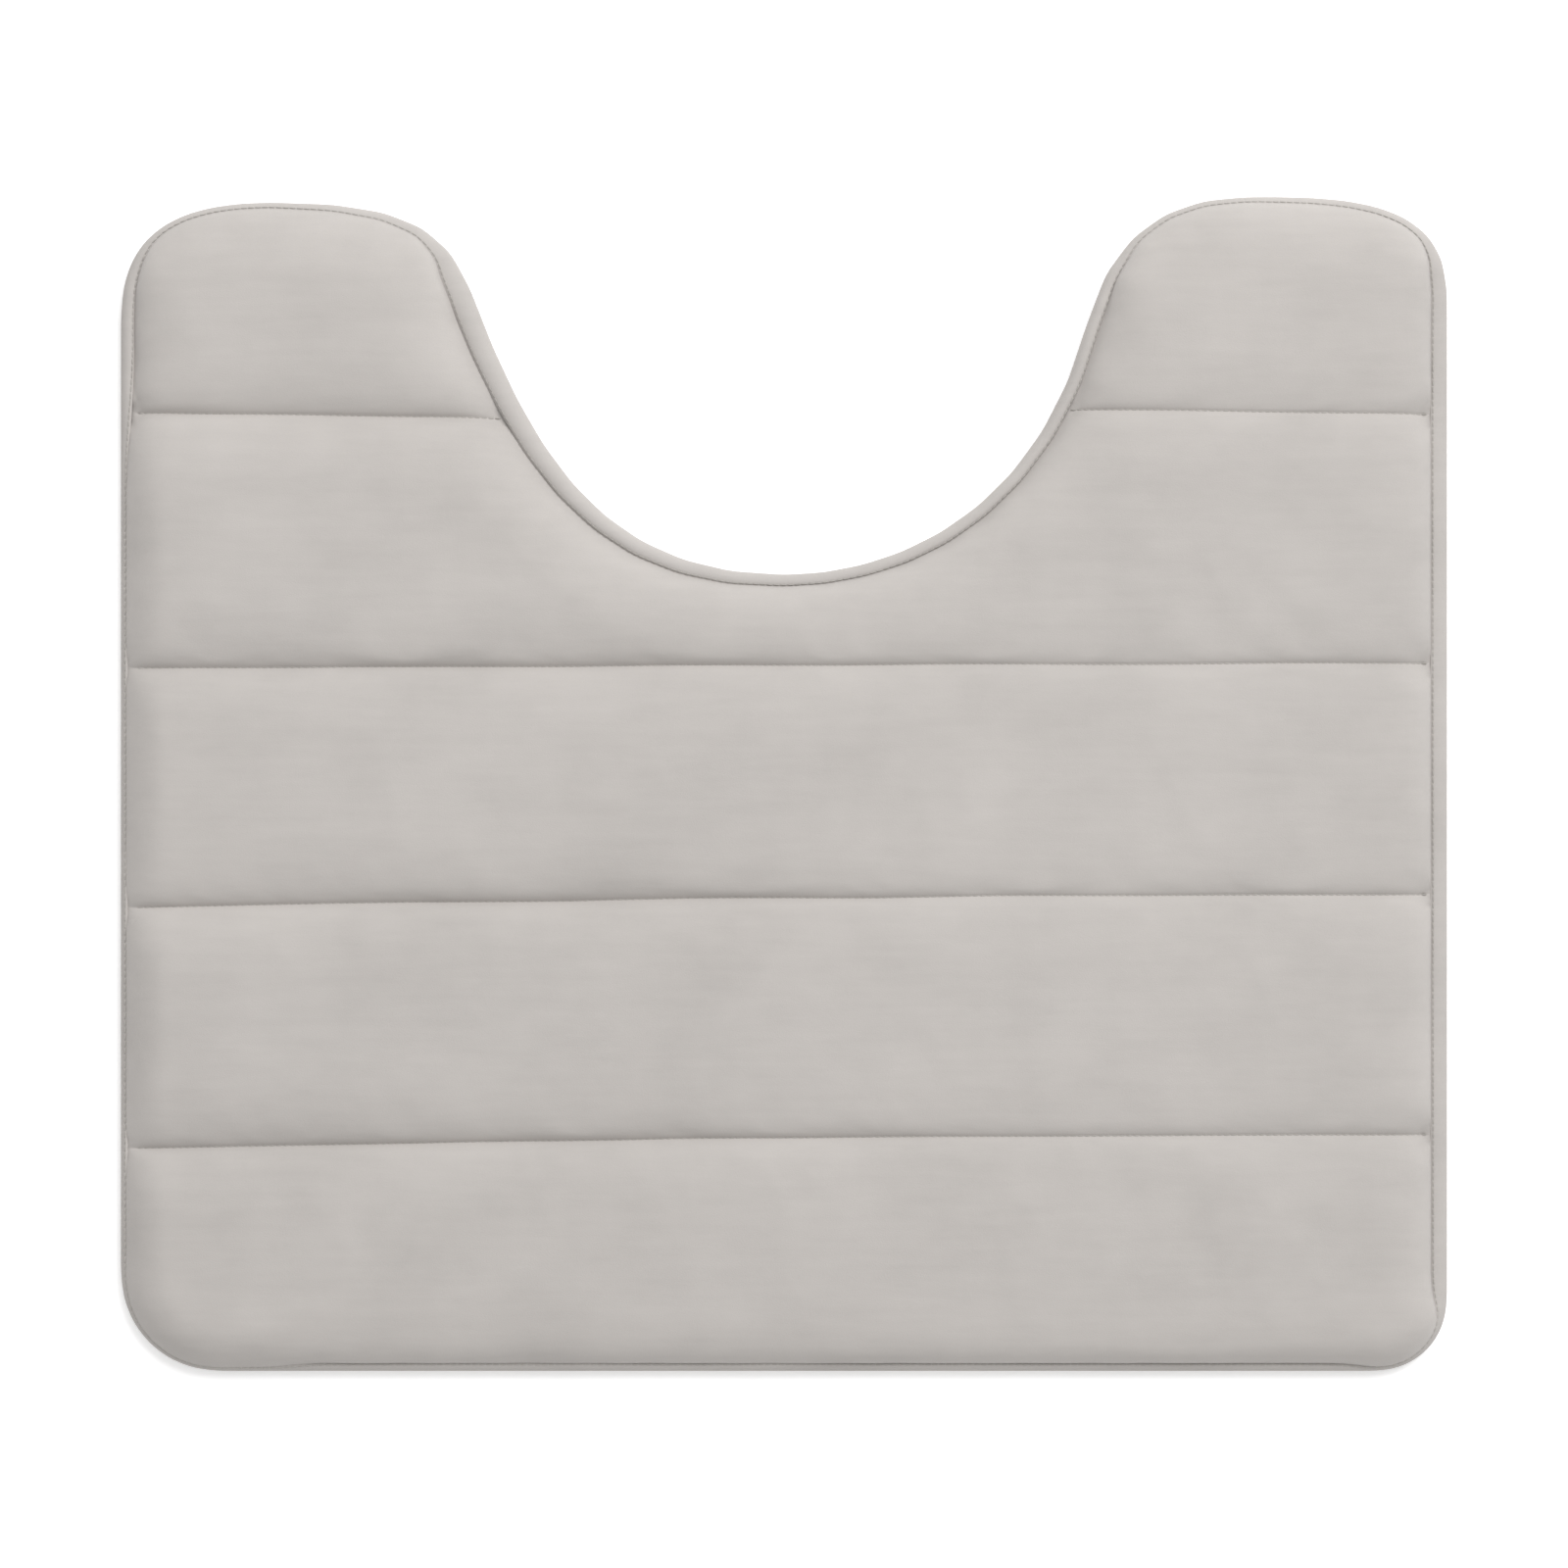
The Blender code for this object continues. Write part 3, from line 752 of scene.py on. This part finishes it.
class Nodes:
    """A material's node tree, with short calls to add and join nodes."""

    def __init__(self, name):
        self.material = bpy.data.materials.new(name)
        self.material.use_nodes = True
        self.tree = self.material.node_tree
        self.shader = self.tree.nodes["Principled BSDF"]
        self.place = self.add("ShaderNodeTexCoord").outputs["Object"]

    def add(self, kind, **settings):
        node = self.tree.nodes.new(kind)
        for key, value in settings.items():
            setattr(node, key, value)
        return node

    def link(self, output, target):
        self.tree.links.new(output, target)

    def stretched(self, scale):
        mapping = self.add("ShaderNodeMapping")
        mapping.inputs["Scale"].default_value = scale
        self.link(self.place, mapping.inputs["Vector"])
        return mapping.outputs["Vector"]

    def noise(self, scale, detail=2.0, roughness=0.5):
        """Noise with this many waves per metre along X, Y and Z."""
        node = self.add("ShaderNodeTexNoise")
        node.inputs["Scale"].default_value = 1.0
        node.inputs["Detail"].default_value = detail
        node.inputs["Roughness"].default_value = roughness
        self.link(self.stretched(scale), node.inputs["Vector"])
        return node.outputs["Fac"]

    def math(self, operation, a, b):
        node = self.add("ShaderNodeMath", operation=operation)
        for slot, value in zip(node.inputs, (a, b)):
            if isinstance(value, (int, float)):
                slot.default_value = value
            else:
                self.link(value, slot)
        return node.outputs[0]

    def ramp(self, fac, stops):
        node = self.add("ShaderNodeValToRGB")
        elements = node.color_ramp.elements
        while len(elements) < len(stops):
            elements.new(0.5)
        for element, (position, colour) in zip(elements, stops):
            element.position = position
            element.color = (*colour, 1)
        self.link(fac, node.inputs["Fac"])
        return node.outputs["Color"]

    def bump(self, height, distance, strength=1.0, below=None):
        node = self.add("ShaderNodeBump")
        node.inputs["Distance"].default_value = distance
        node.inputs["Strength"].default_value = strength
        self.link(height, node.inputs["Height"])
        if below:
            self.link(below, node.inputs["Normal"])
        return node.outputs["Normal"]

    def set(self, **sockets):
        for key, value in sockets.items():
            self.shader.inputs[key.replace("_", " ")].default_value = value


def shade(colour, factor):
    return tuple(min(1.0, c * factor) for c in colour)


# The velvet's noises, in waves per metre along X, Y and Z
PATCHES = (17, 20, 17)
STREAKS = (22, 210, 120)
SOFT_WAVES = (55, 160, 90)
PILE = (1500, 1900, 1500)

YARN_WAVES = 190.0
FOAM_CELLS = 900.0
CLOUD = (60, 60, 60)
PLASTIC_SKIN = (900, 900, 900)
TWIST = (2600, 2600, 2600)


def velvet(name, colour, sheen):
    """Short dense pile, brushed from side to side, with soft patches where it lies over."""
    n = Nodes(name)
    patches = n.noise(PATCHES, 4, 0.6)
    streaks = n.noise(STREAKS, 3, 0.6)
    grain = n.noise(PILE, 2, 0.6)
    lie = n.math("ADD", n.math("MULTIPLY", patches, 0.72), n.math("MULTIPLY", streaks, 0.28))
    mixed = n.math("ADD", n.math("MULTIPLY", lie, 0.8), n.math("MULTIPLY", grain, 0.2))
    stops = [(0.34, shade(colour, 0.93)), (0.50, colour), (0.66, shade(colour, 1.06))]
    tone = n.ramp(mixed, stops)
    n.link(tone, n.shader.inputs["Base Color"])
    n.set(Roughness=0.88, Sheen_Weight=sheen, Sheen_Roughness=0.45, Specular_IOR_Level=0.2)
    soft = n.bump(n.noise(SOFT_WAVES, 3, 0.5), 0.25 * MM, 0.5)
    n.link(n.bump(grain, 0.12 * MM, 0.5, soft), n.shader.inputs["Normal"])
    return n.material


def plain_woven(name, colour):
    """Thin plain-woven backing: two sets of yarns that cross."""
    n = Nodes(name)
    waves = []
    for direction in ("X", "Y"):
        wave = n.add("ShaderNodeTexWave", bands_direction=direction)
        wave.inputs["Scale"].default_value = YARN_WAVES
        wave.inputs["Distortion"].default_value = 0.6
        wave.inputs["Detail"].default_value = 1.0
        n.link(n.place, wave.inputs["Vector"])
        waves.append(wave.outputs["Fac"])
    weave = n.math("MULTIPLY", *waves)
    n.link(n.ramp(weave, [(0.0, shade(colour, 0.80)), (0.8, colour)]), n.shader.inputs["Base Color"])
    n.set(Roughness=0.9, Specular_IOR_Level=0.2)
    n.link(n.bump(weave, 0.25 * MM, 0.7), n.shader.inputs["Normal"])
    return n.material


def soft_plastic(name, colour):
    """Printed soft plastic: a little cloudy, with a fine uneven skin."""
    n = Nodes(name)
    cloud = n.noise(CLOUD, 2, 0.5)
    n.link(n.ramp(cloud, [(0.3, shade(colour, 0.94)), (0.7, colour)]), n.shader.inputs["Base Color"])
    n.set(Roughness=0.42, Specular_IOR_Level=0.45)
    n.link(n.bump(n.noise(PLASTIC_SKIN, 2, 0.5), 0.04 * MM, 0.5), n.shader.inputs["Normal"])
    return n.material


def open_foam(name, colour):
    """Foam: cells of about a millimetre, painted darker at their middles as shade in the open pores.
    """
    n = Nodes(name)
    cells = n.add("ShaderNodeTexVoronoi")
    cells.inputs["Scale"].default_value = FOAM_CELLS
    n.link(n.place, cells.inputs["Vector"])
    walls = cells.outputs["Distance"]
    # Painted shade: the colour darkens towards each cell's middle, where its pore is.
    n.link(n.ramp(walls, [(0.0, shade(colour, 0.75)), (0.5, colour)]), n.shader.inputs["Base Color"])
    n.set(Roughness=0.95, Specular_IOR_Level=0.1)
    n.link(n.bump(walls, 0.3 * MM, 0.6), n.shader.inputs["Normal"])
    return n.material


def spun_thread(name, colour):
    """Sewing thread: a fine uneven twist."""
    n = Nodes(name)
    twist = n.noise(TWIST, 1, 0.5)
    n.link(n.ramp(twist, [(0.35, shade(colour, 0.85)), (0.65, colour)]), n.shader.inputs["Base Color"])
    n.set(Roughness=0.7, Sheen_Weight=0.1)
    n.link(n.bump(twist, 0.05 * MM, 0.6), n.shader.inputs["Normal"])
    return n.material


cover_velvet = velvet("cover_velvet", (0.490, 0.463, 0.441), 0.25)
# The binding is the cover's velvet painted about 2.5 % darker, as painted shade on the rolled edge.
binding_velvet_painted_darker = velvet("binding_velvet_painted_darker", (0.478, 0.452, 0.431), 0.08)
foam_look = open_foam("foam_cells", (0.80, 0.74, 0.58))
backing_look = plain_woven("backing_weave", (0.50, 0.48, 0.45))
dots_look = soft_plastic("dots_plastic", (0.66, 0.65, 0.62))
thread_look = spun_thread("thread_spun", (0.44, 0.42, 0.39))


# The mat

fine = Plan(
    column=2.8 * MM,
    offsets=[d * MM for d in (0.5, 1.1, 1.8, 2.7, 3.9, 5.4, 7.4, 10.0)],
    fill=3.3 * MM,
    depths=[d * MM for d in (0.5, 1.1, 1.9, 2.9, 4.2, 5.9, 8.0, 10.5)],
    ring_step=1,
)
face = np.column_stack([fine.xy, cover_height(fine)])

COARSE_COLUMN = 6 * MM
coarse = Plan(
    column=COARSE_COLUMN,
    offsets=[d * MM for d in (1.2, 2.8, 5.4, 10.0)],
    fill=8 * MM,
    depths=[d * MM for d in (1.5, 3.5, 6.5, 11.0)],
    ring_step=2,
)
face += carried(settle(coarse, cover_height(coarse)), coarse, fine.xy)
face[:, 2] = np.minimum(face[:, 2], TOP)
face_low = face[:, 2] - COVER_THICKNESS
cover = layer("cover", face[:, :2], fine.faces, face_low, face[:, 2], cover_velvet)

under = backing_height(coarse.depth, coarse.gap)
foam_low = under + BACKING_THICKNESS + LAYER_GAP
foam_high = lowest_near(face, coarse.xy, COARSE_COLUMN) - COVER_THICKNESS - LAYER_GAP
foam_high = np.maximum(foam_high, foam_low + LEAST_FOAM)
foam = layer("foam", coarse.xy, coarse.faces, foam_low, foam_high, foam_look)
backing = layer("backing", coarse.xy, coarse.faces, under, under + BACKING_THICKNESS, backing_look)
binding = roll(binding_velvet_painted_darker)

pieces = [
    (cover, "velvet", ["velvet_cover"]),
    (foam, "foam", ["foam_core"]),
    (backing, "backing", ["backing_fabric"]),
    (binding, "binding", ["edge_binding"]),
]

SEAM_POINTS = 240
NEEDLE_LIFT = 0.15 * MM
NEEDLE_RISE = 0.3 * MM
BOBBIN_HEIGHT = DOTS_HEIGHT + 0.45 * MM
BOBBIN_RISE = -0.2 * MM

for seam in SEAMS:
    xs = np.linspace(seam.x0, seam.x1, SEAM_POINTS)
    line = np.column_stack([xs, seam.y_at(xs), np.zeros(len(xs))])
    line[:, 2:] = carried(face[:, 2:], fine, line[:, :2]) + NEEDLE_LIFT
    holes = evenly_spaced(line, STITCH_PITCH)
    upper = stitches(f"stitches_{seam.name}_seam", holes, NEEDLE_RISE, thread_look)
    pieces.append((upper, "thread", [f"needle_thread_{seam.name}_seam"]))
    line[:, 2] = BOBBIN_HEIGHT
    holes = evenly_spaced(line, STITCH_PITCH)
    lower = stitches(f"bobbin_stitches_{seam.name}_seam", holes, BOBBIN_RISE, thread_look)
    pieces.append((lower, "thread", [f"bobbin_thread_{seam.name}_seam"]))

# The binding's seam runs this share of the way from the roll's side to its lips
BINDING_SEAM_AT = 0.9
BINDING_SEAM_LIFT = 0.1 * MM
BINDING_SEAM_RISE = 0.2 * MM

for name, node, side in (
    ("stitches_binding", "needle_thread_binding", 1),
    ("bobbin_stitches_binding", "bobbin_thread_binding", -1),
):
    share, outside = BINDING_SEAM_AT * side, ROLL_THICKNESS / 2 + BINDING_SEAM_LIFT
    ring = []
    for k in list(range(rim.count)) + [0]:
        depth, z = roll_point(rim.width[k], rim.calm[k], rim.deep[k], share, outside)
        ring.append((*(rim.points[k] + rim.normals[k] * depth), z))
    holes = evenly_spaced(np.array(ring), STITCH_PITCH)
    made = stitches(name, holes, side * BINDING_SEAM_RISE, thread_look)
    pieces.append((made, "thread", [node]))

# Grip dots: rows and columns on each side of the middle, and how far they keep off rim and seams
DOT_PITCH = 9 * MM
DOT_ROWS = 35
DOT_COLUMNS = 36
DOT_EDGE_MARGIN = 13 * MM
DOT_SEAM_MARGIN = 5 * MM

grid = []
for j in range(-DOT_ROWS, DOT_ROWS + 1):
    for i in range(-DOT_COLUMNS, DOT_COLUMNS + 1):
        grid.append(((i + 0.5 * (j % 2)) * DOT_PITCH, j * DOT_PITCH * math.sqrt(0.75)))
grid = np.array(grid)
depth, place = rim.depth_and_place(grid)
printed = depth - rim.at(rim.width, place) > DOT_EDGE_MARGIN
printed &= seam_gap(grid) > DOT_SEAM_MARGIN
bands = [np.interp(grid[:, 0], GRID_X, line) for line in LINES]
for name, low, high, side in (
    ("front_panel", 0, 1, 0),
    ("lower_middle_panel", 1, 2, 0),
    ("upper_middle_panel", 2, 3, 0),
    ("rear_panel", 3, 4, 0),
    ("left_lobe", 4, 5, -1),
    ("right_lobe", 4, 5, 1),
):
    chosen = printed & (grid[:, 1] > bands[low]) & (grid[:, 1] < bands[high])
    if side:
        chosen &= grid[:, 0] * side > 0
    made = dots(f"dots_{name}", grid[chosen], dots_look)
    pieces.append((made, "grip_dots", [f"grip_dots_{name}"]))

for piece, slot, nodes in pieces:
    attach(piece, "root")
    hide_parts(*nodes)


# Studio

HALF_FLOOR = 6
FLOOR_DROP = 0.05 * MM


def floor_material():
    """Nearly white and a little luminous, so that the mat's shadow is as faint as in the photo."""
    n = Nodes("studio_floor")
    tone = n.ramp(n.noise((3, 3, 3), 1, 0.4), [(0.3, (0.95,) * 3), (0.7, (0.97,) * 3)])
    n.link(tone, n.shader.inputs["Base Color"])
    n.set(Roughness=0.9, Specular_IOR_Level=0.0, Emission_Strength=0.30)
    n.link(tone, n.shader.inputs["Emission Color"])
    return n.material


corners = [(x * HALF_FLOOR, y * HALF_FLOOR, 0) for x, y in ((-1, -1), (1, -1), (1, 1), (-1, 1))]
floor = mesh_object("studio_floor", corners, [(0, 1, 2, 3)], floor_material())
floor.location.z = -FLOOR_DROP


def soft_light(name, place, size, power):
    """A square light aimed at the mat's middle."""
    lamp = bpy.data.lights.new(name, "AREA")
    lamp.shape = "SQUARE"
    lamp.size = size
    lamp.energy = power
    added = bpy.data.objects.new(name, lamp)
    added.location = place
    added.rotation_euler = (-Vector(place)).to_track_quat("-Z", "Y").to_euler()
    bpy.context.scene.collection.objects.link(added)


soft_light("key", (2.0, 2.9, 4.0), 3.0, 181)
soft_light("fill", (0.6, -3.2, 2.6), 3.0, 18)
soft_light("overhead", (0.0, 1.1, 1.7), 2.0, 11)

world = bpy.data.worlds.new("studio")
bpy.context.scene.world = world
world.use_nodes = True
background = world.node_tree.nodes["Background"]
background.inputs["Color"].default_value = (1, 1, 1, 1)
background.inputs["Strength"].default_value = 0.46

# The camera looks straight down, and frames the mat's edge as the photo does
LENS = 135
SENSOR = 36
VIEW_WIDTH = 0.7213
camera_data = bpy.data.cameras.new("camera")
camera_data.lens = LENS
camera_data.sensor_width = SENSOR
camera = bpy.data.objects.new("camera", camera_data)
camera.location = (0, 0, VIEW_WIDTH * LENS / SENSOR + ROLL_MIDDLE)
bpy.context.scene.collection.objects.link(camera)
bpy.context.scene.camera = camera
bpy.context.scene.view_settings.view_transform = "Standard"
